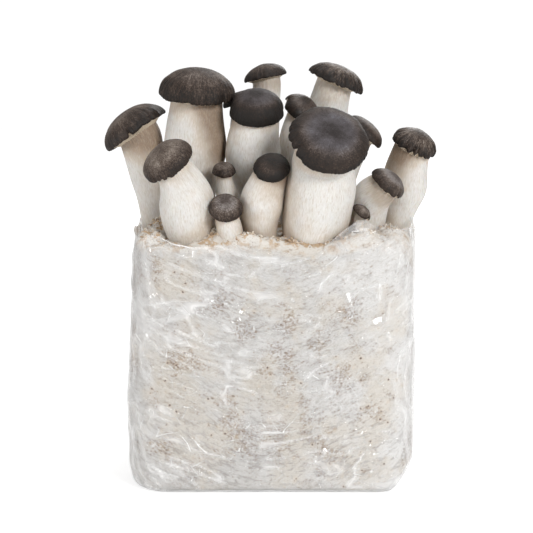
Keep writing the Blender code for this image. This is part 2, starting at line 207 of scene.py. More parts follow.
# How each stem's painted shade goes: how much painted shade, brown and dark, it gets where others
# are close, the heading of the side painted darker as shade and how strong that is, and how much
# painted shade it gets right under the cap. The rest have the usual painted shade.
STEM_SHADES = {
    "far_left": (0.4, -70, 0.35, 0.7), "tall_left": (0.65, -12, 1.15, 0.5),
    "front_left": (0.5, -40, 0.1, 0.25), "centre": (0.4, 180, 0.15, 0.35),
    "back_right": (0.5, -100, 0.1, 0.3), "back_middle": (0.1, -90, 0.1, 0.3),
    "large": (0.5, -150, 0.15, 0.4), "front_middle": (0.7, -120, 0.35, 0.5),
    "far_right": (0.5, 215, 0.78, 0.5), "right_front": (0.3, -20, 0.3, 0.45),
    "tiny_upper": (0.25, 0, 0, 0.35), "tiny_right": (0.1, 0, 0, 0.2),
}
USUAL_SHADE = (0.5, 0, 0, 0.45)

# Studio, in metres: light from all round, as it falls on the object, as it is mirrored and as it is
# seen; round soft lamps with their place, size and power; and the camera
AMBIENT = 0.24
MIRRORED_LIGHT = 0.55
SEEN_LIGHT = 1.02
WARM_LIGHT = (1.0, 0.98, 0.955)
LIGHT_AIM = (0, 0, 0.17)
LAMPS = [
    ("key", (0.8, -1.3, 0.85), 0.6, 21.5), ("left", (-1.3, -0.8, 0.45), 0.6, 9.5),
    ("top", (0.1, 0.1, 1.5), 0.9, 9), ("behind", (0.4, 1.35, 0.8), 0.8, 8),
]
CAMERA_AIM = (-0.004, 0, 0.1516)
CAMERA_DISTANCE = 1.077
CAMERA_ELEVATION = 10


# ---------------------------------------------------------------- noise and meshes

def lattice(cells, seed):
    """A repeatable number from -1 to 1 for each cell of whole numbers."""
    mixed = (cells[..., 0] * 73856093) ^ (cells[..., 1] * 19349663) ^ (cells[..., 2] * 83492791)
    mixed = (mixed ^ (seed * 974711)) & 0xFFFFFFFF
    mixed = ((mixed ^ (mixed >> 13)) * 1274126177) & 0xFFFFFFFF
    mixed = mixed ^ (mixed >> 16)
    return mixed / 0x7FFFFFFF - 1


def soft_noise(points, seed):
    """Smooth noise from -1 to 1, with hills about one unit across."""
    base = np.floor(points).astype(np.int64)
    part = points - base
    blend = part * part * (3 - 2 * part)
    total = 0
    for corner in itertools.product((0, 1), repeat=3):
        offset = np.array(corner)
        weight = np.prod(np.where(offset == 1, blend, 1 - blend), axis=-1)
        total = total + weight * lattice(base + offset, seed)
    return total


def layered_noise(points, seed, layers=3):
    """Noise with finer and finer detail, still about -1 to 1."""
    total = sum(soft_noise(points * 2 ** layer, seed + layer) / 2 ** layer for layer in range(layers))
    return total / 1.5


def ridges(values, sharpness):
    """Thin crests where smooth noise passes through 0, from 0 to 1."""
    return np.clip(1 - np.abs(values), 0, 1) ** sharpness


def ramp(low, high, values):
    """A smooth rise from 0 at low to 1 at high."""
    share = np.clip((values - low) / (high - low), 0, 1)
    return share * share * (3 - 2 * share)


def patches(points, seed, low, high):
    """Soft-edged patches from 0 to 1, where the noise is high."""
    return ramp(low, high, soft_noise(points, seed))


def spline(stations, steps):
    """Points on a Catmull-Rom curve through the stations, as an array."""
    stations = np.asarray(stations, float)
    knots = np.vstack([2 * stations[0] - stations[1], stations, 2 * stations[-1] - stations[-2]])
    points = []
    for before, start, end, after in zip(knots, knots[1:], knots[2:], knots[3:]):
        for step in range(steps):
            t = step / steps
            points.append(0.5 * (2 * start + (end - before) * t
                                 + (2 * before - 5 * start + 4 * end - after) * t * t
                                 + (3 * start - before - 3 * end + after) * t * t * t))
    points.append(stations[-1])
    return np.array(points)


def walked_lengths(points):
    """The distance walked along a path, up to each of its points."""
    return np.append(0, np.cumsum(np.linalg.norm(np.diff(points, axis=0), axis=1)))


def resampled(even, walked, values):
    """The values that go with a path's points, read at even distances along it."""
    return np.stack([np.interp(even, walked, column) for column in values.T], axis=-1)


def on_grid(shape, *values):
    """Points of a grid from their coordinates, each given by row, by column or for all."""
    return np.stack([np.broadcast_to(value, shape) for value in values], axis=-1)


def with_poles(grid, first, last):
    """A grid's values in one row, with those of its two poles at the end."""
    return np.append(np.ravel(grid), (first, last))


def grid_normals(grid):
    """Unit normals of a grid of points that is closed round its columns."""
    across = np.roll(grid, -1, axis=1) - np.roll(grid, 1, axis=1)
    along = np.gradient(grid, axis=0)
    normal = np.cross(across, along)
    length = np.linalg.norm(normal, axis=-1, keepdims=True)
    return normal / np.maximum(length, 1e-9)


def grid_faces(rows, columns, poles=False):
    """Quads of a grid that is closed round its columns, with fans to a pole at either end."""
    row, column = np.meshgrid(np.arange(rows - 1), np.arange(columns), indexing="ij")
    here = row * columns + column
    beside = row * columns + (column + 1) % columns
    faces = np.stack([here, beside, beside + columns, here + columns], axis=-1).reshape(-1, 4).tolist()
    if poles:
        pole, last = rows * columns, (rows - 1) * columns
        faces += [[pole, (number + 1) % columns, number] for number in range(columns)]
        faces += [[last + number, last + (number + 1) % columns, pole + 1] for number in range(columns)]
    return faces


def add_piece(name, points, faces, materials, replaced, attributes):
    """Makes a piece from points in millimetres and lets it ride on the part. An attribute has one
    number, or three, for each point."""
    points = np.reshape(points, (-1, 3)) * MM
    mesh = bpy.data.meshes.new(name)
    mesh.from_pydata(points.tolist(), [], faces)
    for key, values in attributes.items():
        values = np.asarray(values, np.float32).ravel()
        kind, field = ("FLOAT", "value") if len(values) == len(points) else ("FLOAT_VECTOR", "vector")
        mesh.attributes.new(key, kind, "POINT").data.foreach_set(field, values)
    for material in materials:
        mesh.materials.append(material)
    mesh.shade_smooth()
    mesh.update()
    piece = bpy.data.objects.new(name, mesh)
    bpy.context.scene.collection.objects.link(piece)
    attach(piece, BODY)
    if replaced:
        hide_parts(replaced)
    return piece


def weld(piece):
    """Joins points that lie on each other, where the rings of a block or bag close on a line."""
    bm = bmesh.new()
    bm.from_mesh(piece.data)
    bmesh.ops.remove_doubles(bm, verts=bm.verts, dist=WELD_DISTANCE * MM)
    bmesh.ops.dissolve_degenerate(bm, edges=bm.edges, dist=WELD_DISTANCE * MM)
    bm.to_mesh(piece.data)
    bm.free()
    piece.data.shade_smooth()


# ---------------------------------------------------------------- material helpers

def feed(made, inputs):
    """Gives a node's inputs, by name or number, a plain value or a socket to link."""
    for key, value in inputs.items():
        if isinstance(value, bpy.types.NodeSocket):
            made.id_data.links.new(value, made.inputs[key])
        else:
            made.inputs[key].default_value = value
    return made


def node(tree, kind, **settings):
    made = tree.nodes.new("ShaderNode" + kind)
    for key, value in settings.items():
        setattr(made, key, value)
    return made


def linked(kind, inputs, **settings):
    """Adds a node to the tree that its first linked input comes from."""
    tree = next(value.id_data for value in inputs.values() if isinstance(value, bpy.types.NodeSocket))
    return feed(node(tree, kind, **settings), inputs)


def attribute(tree, key, output="Fac"):
    return node(tree, "Attribute", attribute_type="GEOMETRY", attribute_name=key).outputs[output]


def object_place(tree):
    return node(tree, "TexCoord").outputs["Object"]


def maths(operation, first, second=0.0, clamp=False):
    return linked("Math", {0: first, 1: second}, operation=operation, use_clamp=clamp).outputs[0]


def times(first, *others):
    for other in others:
        first = maths("MULTIPLY", first, other)
    return first


def plus(first, *others, clamp=False):
    for other in others:
        first = maths("ADD", first, other, clamp)
    return first


def less(first, second):
    return maths("SUBTRACT", first, second)


def vector_maths(operation, inputs):
    return linked("VectorMath", inputs, operation=operation).outputs[0]


def remap(value, low, high, to_low=0.0, to_high=1.0):
    inputs = {"Value": value, "From Min": low, "From Max": high, "To Min": to_low, "To Max": to_high}
    return linked("MapRange", inputs, interpolation_type="SMOOTHSTEP").outputs["Result"]


def opaque(colour):
    """Gives (red, green, blue) full alpha, and leaves a socket as it is."""
    return (*colour, 1) if isinstance(colour, tuple) else colour


def mix_colour(share, first, second, blend="MIX"):
    inputs = {0: share, 6: opaque(first), 7: opaque(second)}
    return linked("Mix", inputs, data_type="RGBA", blend_type=blend).outputs[2]


def painted(colour, *coats):
    """Lays coats of colour over each other, each as strongly as the product of its shares."""
    for coat, *shares in coats:
        colour = mix_colour(times(*shares), colour, coat)
    return colour


def colour_ramp(share, first, last, between):
    """A row of colours from 0 to 1, where each one between has its position."""
    made = linked("ValToRGB", {"Fac": share})
    stops = made.color_ramp.elements
    stops[0].color = opaque(first)
    stops[1].color = opaque(last)
    for position, colour in between:
        stops.new(position).color = opaque(colour)
    return made.outputs["Color"]


def noise_texture(place, scale, detail, roughness=0.5, bend=0.0):
    inputs = {"Vector": place, "Scale": scale, "Detail": detail, "Roughness": roughness}
    return linked("TexNoise", {**inputs, "Distortion": bend}).outputs


def ragged(place, scale, amount):
    """A place moved a little by noise, so that what is drawn there has ragged edges."""
    wobble = noise_texture(place, scale, 2.0)["Color"]
    moved = vector_maths("SCALE", {0: wobble, "Scale": amount})
    return vector_maths("ADD", {0: place, 1: moved})


def bumps(*layers):
    """A normal from bumps laid on each other, each with its height, distance and strength."""
    below = {}
    for height, distance, strength in layers:
        inputs = {"Height": height, "Distance": distance, "Strength": strength, **below}
        below = {"Normal": linked("Bump", inputs).outputs[0]}
    return below["Normal"]


def new_group(name, place, outputs, **values):
    """An empty node group that takes a place and some values, and puts out masks."""
    group = bpy.data.node_groups.new(name, "ShaderNodeTree")
    group.interface.new_socket(place, in_out="INPUT", socket_type="NodeSocketVector")
    for key, usual in values.items():
        made = group.interface.new_socket(key, in_out="INPUT", socket_type="NodeSocketFloat")
        made.default_value = usual
    for key in outputs:
        group.interface.new_socket(key, in_out="OUTPUT", socket_type="NodeSocketFloat")
    return group, group.nodes.new("NodeGroupInput").outputs, group.nodes.new("NodeGroupOutput")


def fibre_group():
    """Fine threads that run one way: Level sets how close they lie across the grain's X and Y, and
    Upright along its Z."""
    outputs = ("Threads", "Bands")
    group, given, result = new_group("fibres", "Grain", outputs, Level=1.0, Upright=0.05, Bend=0.0)
    scales = linked("CombineXYZ", {0: given["Level"], 1: given["Level"], 2: given["Upright"]})
    threads = vector_maths("MULTIPLY", {0: given["Grain"], 1: scales.outputs[0]})
    fine = noise_texture(threads, 1.0, 3.0, 0.6, given["Bend"])
    broad = noise_texture(threads, 0.28, 2.0)
    feed(result, {"Threads": fine["Fac"], "Bands": broad["Fac"]})
    return group


def mottle_group():
    """Soft cloudy patches with speckles inside them."""
    group, given, result = new_group("mottle", "Place", ("Patches", "Speckle"), Scale=60.0)
    patches = noise_texture(given["Place"], given["Scale"], 4.0, 0.6)
    speckle = noise_texture(given["Place"], times(given["Scale"], 9.0), 2.0, 0.7)
    feed(result, {"Patches": patches["Fac"], "Speckle": speckle["Fac"]})
    return group


def specks_group():
    """Small separate dots with a halo round them, in the cells of a Voronoi pattern. Rare is the
    share of the cells that stay empty."""
    outputs = ("Dots", "Halos")
    group, given, result = new_group("specks", "Place", outputs, Scale=100.0, Size=0.25, Rare=0.8)
    place = ragged(given["Place"], 900.0, maths("DIVIDE", 0.2, given["Scale"]))
    cells = linked("TexVoronoi", {"Vector": place, "Scale": given["Scale"]}).outputs
    chosen = linked("SeparateColor", {0: cells["Color"]}).outputs[0]
    rare = maths("GREATER_THAN", chosen, given["Rare"])
    dots = remap(cells["Distance"], given["Size"], times(given["Size"], 0.7))
    halos = remap(cells["Distance"], times(given["Size"], 3.2), 0.0)
    feed(result, {"Dots": times(dots, rare), "Halos": times(halos, rare)})
    return group


FIBRES = fibre_group()
MOTTLE = mottle_group()
SPECKS = specks_group()


def placed(group, **inputs):
    return linked("Group", inputs, node_tree=group).outputs


def mottle(tree, scale):
    return placed(MOTTLE, Place=object_place(tree), Scale=scale)


def specks(tree, scale, size, rare):
    return placed(SPECKS, Place=object_place(tree), Scale=scale, Size=size, Rare=rare)


# ---------------------------------------------------------------- materials

def cap_skin(tree):
    """Dark, velvety skin with radial fibres, a bluish bloom and pale nicks where it is worn."""
    blue = attribute(tree, "blue")
    gloss = attribute(tree, "gloss")
    strength = attribute(tree, "fibre_strength")
    fibres = placed(FIBRES, Grain=attribute(tree, "grain", "Vector"), Level=1.5, Upright=0.5)
    felt = mottle(tree, 110.0)["Speckle"]
    quiet = times(remap(blue, 0.0, 1.0, 1.0, 0.45), remap(gloss, 0.2, 1.0, 1.0, 0.4))
    shade = plus(attribute(tree, "tone"),
                 times(remap(fibres["Threads"], 0.36, 0.66, -0.17, 0.24), strength),
                 times(remap(fibres["Bands"], 0.36, 0.64, -0.09, 0.11), strength),
                 remap(mottle(tree, 70.0)["Patches"], 0.34, 0.66, -0.09, 0.1),
                 times(remap(felt, 0.34, 0.66, -0.09, 0.13), quiet))
    brown = colour_ramp(shade, (0.007, 0.005, 0.004), (0.62, 0.56, 0.48), [
        (0.25, (0.026, 0.0165, 0.012)), (0.45, (0.078, 0.057, 0.045)), (0.7, (0.195, 0.163, 0.138))])
    return {
        "Base Color": mix_colour(blue, brown, mix_colour(1.0, brown, (0.78, 0.94, 1.27), "MULTIPLY")),
        "Roughness": less(remap(felt, 0.3, 0.7, 0.56, 0.74), times(gloss, 0.26)),
        "Specular IOR Level": 0.24,
        "Normal": bumps((felt, 0.0003, 0.7), (fibres["Threads"], 0.0004, 0.7)),
    }


def gill_flesh(tree):
    """Cream gills under the caps, with painted shade in brown down between them."""
    cloud = mottle(tree, 120.0)
    return {
        "Base Color": painted(
            (0.74, 0.66, 0.54), ((0.42, 0.33, 0.23), attribute(tree, "depth")),
            ((0.60, 0.50, 0.38), remap(cloud["Patches"], 0.3, 0.7, 0.0, 0.35))),
        "Roughness": remap(cloud["Speckle"], 0.3, 0.7, 0.6, 0.75),
        "Normal": bumps((cloud["Speckle"], 0.0002, 0.5)),
    }


def stem_flesh(tree):
    """Ivory flesh with fine lengthwise fibres and painted shade in warm browns: under the cap,
    on one side and where other stems are close; darker and warmer towards the foot.
    """
    grain = attribute(tree, "grain", "Vector")
    threads = placed(FIBRES, Grain=grain, Level=1.3, Upright=0.27, Bend=0.4)["Threads"]
    cloud = mottle(tree, 45.0)
    shade_tone_and_mottle = plus(attribute(tree, "painted_shade_and_tone"), remap(cloud["Patches"], 0.35, 0.75, -0.08, 0.16), clamp=True)
    return {
        "Base Color": painted(
            # The warm tan and the dark brown coats are painted shade, laid where the stem's painted shade
            # is
            (0.595, 0.58, 0.554), ((0.525, 0.464, 0.396), remap(shade_tone_and_mottle, 0.06, 0.46)),
            ((0.235, 0.172, 0.122), remap(shade_tone_and_mottle, 0.2, 1.0)),
            ((0.42, 0.345, 0.265), remap(threads, 0.52, 0.64), 0.42),
            ((0.72, 0.706, 0.683), remap(threads, 0.48, 0.34), 0.4, remap(shade_tone_and_mottle, 0.1, 0.7, 1.0, 0.3)),
            ((0.34, 0.23, 0.14), specks(tree, 160.0, 0.13, 0.86)["Dots"], 0.4)),
        "Roughness": remap(threads, 0.3, 0.7, 0.5, 0.66),
        "Subsurface Weight": 0.2,
        "Subsurface Radius": (1.0, 0.55, 0.3),
        "Subsurface Scale": 0.004,
        "Specular IOR Level": 0.35,
        "Normal": bumps((cloud["Speckle"], 0.0002, 0.35), (threads, 0.0005, 0.7)),
    }


def creases(place, level, upright, width, *masks):
    """Straight lines between the facets of a crumpled pattern, and the distance to the nearest one."""
    stretched = vector_maths("MULTIPLY", {0: place, 1: (level, level, upright)})
    facets = linked("TexVoronoi", {"Vector": stretched, "Scale": 1.0}, feature="DISTANCE_TO_EDGE")
    distance = facets.outputs["Distance"]
    return times(remap(distance, width, 0.0), *masks), distance


def crust_colour(tree, crumbs, medium):
    """The crust on top: pale and tan lumps with dark dots, with painted shade in the pits between
    lumps and browner at the stems' feet as painted shade.
    """
    tan = plus(times(attribute(tree, "pits"), 0.45), remap(crumbs, 0.4, 0.6, -0.25, 0.55))
    return painted(
        (0.63, 0.60, 0.555), ((0.45, 0.325, 0.21), remap(tan, 0.1, 0.6)),
        ((0.17, 0.095, 0.05), remap(medium["Speckle"], 0.42, 0.37),
         remap(medium["Patches"], 0.42, 0.58, 0.1, 1.0)),
        ((0.30, 0.20, 0.12), attribute(tree, "foot"), remap(crumbs, 0.42, 0.56, 0.5, 0.0)),
        ((0.10, 0.06, 0.035), remap(crumbs, 0.58, 0.44), attribute(tree, "heap")))


def mycelium(tree):
    """White mycelium over sawdust: wisps along the film's folds, grey-brown clusters of specks
    where it is thin, and a tan crust on top."""
    crust = attribute(tree, "crust")
    flow = attribute(tree, "flow", "Vector")
    wisps = placed(FIBRES, Grain=flow, Level=0.13, Upright=0.34, Bend=0.7)["Threads"]
    grains = placed(FIBRES, Grain=flow, Level=0.6, Upright=1.0, Bend=0.8)["Threads"]
    large = mottle(tree, 24.0)["Patches"]
    medium = mottle(tree, 80.0)
    small = mottle(tree, 600.0)["Patches"]
    bent = ragged(object_place(tree), 260.0, 0.004)
    crumbs = placed(MOTTLE, Place=bent, Scale=190.0)["Patches"]
    dust = specks(tree, 300.0, 0.26, 0.45)["Dots"]
    dark = specks(tree, 170.0, 0.14, 0.45)
    clustered = remap(large, 0.48, 0.54, 0.06, 1.0)
    thin = plus(attribute(tree, "thin"), remap(medium["Patches"], 0.34, 0.66, -0.5, 0.4),
                remap(wisps, 0.4, 0.6, 0.15, -0.25))
    thin = remap(thin, 0.05, 0.75)
    half_thin = plus(thin, 0.3, clamp=True)
    fuzz = mix_colour(remap(large, 0.44, 0.56), (0.31, 0.295, 0.29), (0.33, 0.265, 0.195))
    wool, _ = creases(bent, 330.0, 330.0, 0.11, remap(small, 0.44, 0.56), half_thin)
    colour = painted(
        # White felt, creamier and duller in patches, and paler on the right as painted light
        # and on the white mound
        (0.345, 0.330, 0.312), ((0.468, 0.458, 0.444), remap(wisps, 0.34, 0.54)),
        ((0.62, 0.613, 0.602), attribute(tree, "white"), 0.72),
        ((0.475, 0.42, 0.34), remap(large, 0.44, 0.6), 0.5),
        ((0.35, 0.33, 0.315), remap(medium["Patches"], 0.5, 0.64), 0.3),
        # Thin places: fuzzy grey first, then grains of sawdust along the film's flow, and wool
        (fuzz, thin, remap(small, 0.55, 0.43, 0.05, 0.75)),
        ((0.19, 0.125, 0.08), remap(grains, 0.515, 0.56), thin, 0.85),
        ((0.66, 0.66, 0.665), wool, 0.6),
        # Streaks low down, stray grains, dust, and the halos of the dark specks
        ((0.29, 0.27, 0.26), remap(wisps, 0.47, 0.40), attribute(tree, "low"), 0.55),
        ((0.25, 0.18, 0.12), remap(grains, 0.61, 0.65), 0.7),
        ((0.14, 0.085, 0.055), dust, half_thin, less(1.0, crust), 0.8),
        ((0.48, 0.34, 0.19), dark["Halos"], clustered, 0.35),
        (crust_colour(tree, crumbs, medium), crust),
        ((0.06, 0.02, 0.012), dark["Dots"], clustered))
    return {
        "Base Color": colour,
        "Roughness": remap(small, 0.3, 0.7, 0.7, 0.95),
        "Normal": bumps((medium["Patches"], 0.002, 0.4), (wisps, 0.0012, 0.4), (small, 0.0005, 0.5)),
    }


def sawdust(tree):
    """Tan and brown crumbs of bran and sawdust, each with a tone of its own."""
    cloud = mottle(tree, 300.0)
    shade = plus(attribute(tree, "tone"), remap(cloud["Patches"], 0.3, 0.7, -0.15, 0.15))
    return {
        "Base Color": colour_ramp(shade, (0.09, 0.055, 0.032), (0.74, 0.71, 0.66), [
            (0.3, (0.33, 0.23, 0.145)), (0.6, (0.56, 0.475, 0.37))]),
        "Roughness": remap(cloud["Speckle"], 0.3, 0.7, 0.7, 0.9),
        "Normal": bumps((cloud["Speckle"], 0.0003, 0.8)),
    }


def clear_film(tree):
    """Clear film: what is behind it shows through, with gloss, sharp creases and milky folds."""
    flow = attribute(tree, "flow", "Vector")
    loose = less(1.0, attribute(tree, "calm"))
    cloud = mottle(tree, 30.0)
    here = remap(cloud["Patches"], 0.45, 0.53)
    there = remap(cloud["Patches"], 0.54, 0.47)
    broken = remap(mottle(tree, 70.0)["Patches"], 0.47, 0.53)
    long_lines, wide = creases(flow, 0.045, 0.11, 0.014, here, broken)
    short_lines, narrow = creases(flow, 0.11, 0.24, 0.024, there, broken)
    lines = times(maths("MAXIMUM", long_lines, times(short_lines, 0.9)), plus(times(loose, 0.6), 0.4))
    # Milky along the crease lines: partly the film's own whitening at its creases, partly a painted
    # highlight
    haze = plus(remap(cloud["Patches"], 0.4, 0.66, 0.03, 0.12), attribute(tree, "milky"),
                times(lines, 0.75), clamp=True)
    normal = bumps((times(wide, plus(times(here, 0.8), 0.2), loose), 0.0024, 0.8),
                   (times(narrow, there, loose), 0.001, 0.8),
                   (times(lines, loose), 0.0006, 0.8), (cloud["Speckle"], 0.0003, 0.2))

    # How much of the film shows: its haze, and the gloss, which is stronger at a slant
    slant = linked("LayerWeight", {"Blend": 0.5, "Normal": normal}).outputs["Facing"]
    rim = plus(times(maths("POWER", slant, 5), 0.96), 0.04)
    share = plus(haze, rim, clamp=True)
    glossy_part = maths("DIVIDE", rim, plus(share, 0.001), True)
    milk = tree.nodes["Principled BSDF"].outputs[0]
    gloss = linked("BsdfGlossy", {"Color": (1, 1, 1, 1), "Roughness": 0.12, "Normal": normal}).outputs[0]
    body = linked("MixShader", {0: glossy_part, 1: milk, 2: gloss}).outputs[0]
    clear = node(tree, "BsdfTransparent").outputs[0]
    surface = linked("MixShader", {0: share, 1: clear, 2: body}).outputs[0]
    feed(next(item for item in tree.nodes if item.type == "OUTPUT_MATERIAL"), {"Surface": surface})
    return {"Base Color": (0.91, 0.91, 0.91, 1), "Roughness": 0.25, "Normal": normal}


def pale_floor(tree):
    """A white studio floor. Where the camera sees it, it is mostly the even white of the background,
    with the shadows only faint."""
    seen = node(tree, "LightPath").outputs["Is Camera Ray"]
    colour = mix_colour(mottle(tree, 3.0)["Patches"], (0.90, 0.90, 0.90), (0.92, 0.92, 0.92))
    away = linked("VectorMath", {0: object_place(tree)}, operation="LENGTH").outputs["Value"]
    return {
        "Base Color": mix_colour(seen, colour, (0.42, 0.42, 0.42)),
        "Roughness": 0.9,
        "Specular IOR Level": 0.1,
        "Emission Color": (1, 1, 1, 1),
        "Emission Strength": plus(times(seen, remap(away, 0.9, 1.5, 0.63, 0.86)), 0.1),
    }


def make_material(recipe):
    """A material with the name of its recipe, which gives the inputs of its shader."""
    material = bpy.data.materials.new(recipe.__name__)
    material.use_nodes = True
    tree = material.node_tree
    feed(tree.nodes["Principled BSDF"], recipe(tree))
    return material


SKIN = make_material(cap_skin)
GILLS = make_material(gill_flesh)
FLESH = make_material(stem_flesh)
MYCELIUM = make_material(mycelium)
CRUMBS = make_material(sawdust)
FILM = make_material(clear_film)


# ---------------------------------------------------------------- caps

def cap_matrix(centre, tilt, heading):
    """Places a cap drawn upright at the origin: tilted, then turned towards its heading."""
    turn = Matrix.Rotation(math.radians(heading), 4, "Z") @ Matrix.Rotation(math.radians(tilt), 4, "Y")
    return Matrix.Translation(Vector(centre) + Vector((0, 0, BLOCK_TOP))) @ turn


def cap_outline(radius, height, pointed, neck):
    """Reach and level from near the top of the dome, over the rolled lip, to the neck, and the rows
    where the dome and the lip end."""
    turns = np.radians(np.linspace(0, 90, int(radius * 1.5) + 12)[1:])
    dome = np.stack([radius * np.sin(turns) ** pointed, height * np.abs(np.cos(turns)) ** pointed], axis=-1)
    lip = spline(radius * np.array(LIP), 3)
    depth = GILL_DEPTH_RATIO * radius
    gills = spline([lip[-1], ((lip[-1][0] + neck) / 2, -0.6 * depth), (neck, -depth)], 5)
    return np.vstack([dome, lip[1:], gills[1:]]), len(dome), len(dome) + len(lip) - 1


def edge_wave(direction, size, offset):
    """The slow wave of a cap's edge, as the solid has it, for each direction."""
    return np.array([noise.noise(Vector((x, y, 0)) * size + Vector(offset)) for x, y in direction])


def edge_notches(name, around):
    """How deep the cap's edge is notched at each angle."""
    notch = 0 * around
    for angle, width, deep in NOTCHES.get(name, []):
        gap = (around - math.radians(angle) + math.pi) % (2 * math.pi) - math.pi
        notch = notch + deep * np.exp(-(gap / math.radians(width)) ** 2)
    return notch


def skin_tones(index, tone, blue, share, place, pucker):
    """How pale the skin is: a dark outer zone and rim, partly its own darker margin and partly
    painted shade where the edge curls and faces down, a paler ring inside it, painted shade along
    the puckers' grooves, and soft patches.
    """
    tones = tone + 0.06 * ramp(0.1, 0.4, share) - (0.2 + 0.09 * blue) * ramp(0.6, 0.92, share)
    tones = tones - 0.08 * ramp(0.95, 0.99, share) - 0.15 * blue * ramp(0.4, 0.1, share)
    tones = tones + 0.02 * blue * np.exp(-((share - 0.55) / 0.15) ** 2)
    # Darker along the puckers' grooves, as painted shade
    return tones - 0.12 * pucker + layered_noise(place / 16 + 31 * index, 91 + index, 2) * 0.09


def make_cap(index, name, placing, radius, height, pointed, neck):
    """A domed cap with radial fibres, a crinkled, rolled edge and gills below."""
    tone, blue, strength, gloss = CAP_LOOKS[name]
    outline, dome_rows, lip_rows = cap_outline(radius, height, pointed, neck)
    gills = max(FEWEST_GILLS, int(2 * math.pi * radius * 0.9 / GILL_SPACING))
    rows, columns = len(outline), gills * (3 if radius > LARGE_CAP else 4)
    shape = (rows, columns)
    around = np.linspace(0, 2 * math.pi, columns, endpoint=False)
    direction = np.stack([np.cos(around), np.sin(around)], axis=-1)
    reach, level = outline[:, :1], outline[:, 1:]
    share = reach / radius
    row_number = np.arange(rows)[:, None]
    steps = np.gradient(outline, axis=0)
    lengths = np.linalg.norm(steps, axis=1)[:, None]
    steps = steps / np.maximum(lengths, 1e-9)

    # Relief of the skin: soft lumps, radial fibres, puckers near the edge, and notches
    grain = on_grid(shape, *(direction * radius).T, np.cumsum(lengths)[:, None])
    place = on_grid(shape, *(reach * side for side in direction.T), level)
    lumps = layered_noise(place / 11 + index * 7, 11 + index, 2) * 0.5 * ramp(0, 0.4, share)
    fine = layered_noise(grain * (0.45, 0.45, 0.05) + index, 31 + index, 2) * 0.1 * share
    pucker = ridges(soft_noise(grain * (0.26, 0.26, 0.03) + index, 51 + index), 3)
    pucker = pucker * ramp(0.45, 0.9, share) * strength ** 2
    notch = edge_notches(name, around)
    relief = lumps + fine - 1.5 * pucker - 0.35 * notch * ramp(0.6, 0.95, share)
    relief = relief * (row_number < lip_rows - 2)

    # Edge: a slow wave and small scallops
    start = placing.translation.x
    wave = edge_wave(direction, 2.2, (start, 0, 0))
    lift = edge_wave(direction, 1.5, (0, start, 0))
    edge = MARGIN_WAVE * radius * np.clip((share - MARGIN_START) / (1 - MARGIN_START), 0, 1)
    scallops = np.abs(soft_noise(at_level(direction, 0) * radius * 0.85 + index, 71 + index))
    cut = scallops * min(0.7, radius * 0.03)
    cut_in = (cut + 0.7 * notch) * ramp(0.8, 1.0, share)
    raised = np.where(row_number < dome_rows, ramp(0.88, 1.0, share), ramp(neck / radius, 0.9, share))

    # Gills: every other one is shorter
    turn = around * gills / (2 * math.pi)
    blade = np.abs((turn % 1) - 0.5) * 2
    short = np.floor(turn + 0.25) % 2
    under = ramp(lip_rows - 1, lip_rows + 2, row_number)
    reaches_in = 1 - short * ramp(0.75, 0.45, share)
    groove = blade * under * reaches_in * min(1.6, 0.06 * radius)

    reach = reach - steps[:, 1:] * relief + wave * edge - cut_in
    level = level + steps[:, :1] * relief + lift * edge + groove + (0.4 * cut + 0.8 * notch) * raised
    points = on_grid(shape, *(reach * side for side in direction.T), level)
    top = points[0].mean(axis=0) + (0, 0, 0.02)
    points = with_poles(points, top, (0, 0, -GILL_DEPTH_RATIO * radius)).reshape(-1, 3)
    matrix = np.array(placing)
    points = points @ matrix[:3, :3].T + matrix[:3, 3]
    tones = skin_tones(index, tone, blue, share, place, pucker)
    bluish = np.broadcast_to(blue * (1 - ramp(0.45, 0.9, share)), shape)
    fibres = np.broadcast_to(strength * ramp(0.05, 0.6, share), shape)
    attributes = {
        "grain": with_poles(grain, (0, 0, 0), (0, 0, radius)),
        "tone": with_poles(tones, tone, tone),
        "blue": with_poles(bluish, blue, 0),
        "fibre_strength": with_poles(fibres, 0, 0),
        "gloss": np.full(len(points), gloss),
        # depth marks the grooves between the gills, where the gills' colour gets painted shade
        "depth": with_poles(blade * under, 0, 0),
    }
    faces = [face[::-1] for face in grid_faces(rows, columns, True)]
    cap = add_piece(name + "_cap", points, faces, [SKIN, GILLS], "cap_" + name, attributes)
    is_gill = np.zeros(len(faces), np.int32)
    is_gill[(lip_rows - 3) * columns:(rows - 1) * columns] = 1
    is_gill[-columns:] = 1
    cap.data.polygons.foreach_set("material_index", is_gill)


# ---------------------------------------------------------------- stems

def ring_frames(path):
    """Two directions across the path at each point, without twist."""
    tangents = np.gradient(path, axis=0)
    tangents /= np.linalg.norm(tangents, axis=1, keepdims=True)
    side = np.cross(tangents[0], (0.0, 1.0, 0.0))
    sides = []
    for tangent in tangents:
        side = side - tangent * (side @ tangent)
        side = side / np.linalg.norm(side)
        sides.append(side)
    return sides, np.cross(tangents, sides)


def stem_path(stations, neck, join, axis):
    """Centres and radii of a stem's rings, from inside the crust to inside the cap, and how far up
    each one is."""
    knots = [(x, y, z + BLOCK_TOP, radius) for x, y, z, radius in stations]
    knots[0] = (*knots[0][:2], BLOCK_TOP - STEM_BURIED, knots[0][3])
    knots.append((*(join - axis * 2), neck))
    path = np.vstack([spline(knots, 12), (*(join + axis * STEM_IN_CAP), neck)])
    walked = walked_lengths(path[:, :3])
    even = np.linspace(0, walked[-1], int(walked[-1] / STEM_PITCH))
    path = resampled(even, walked, path)
    for _ in range(8):
        path[1:-1] = (path[:-2] + 2 * path[1:-1] + path[2:]) / 4
    return path[:, :3], path[:, 3], even


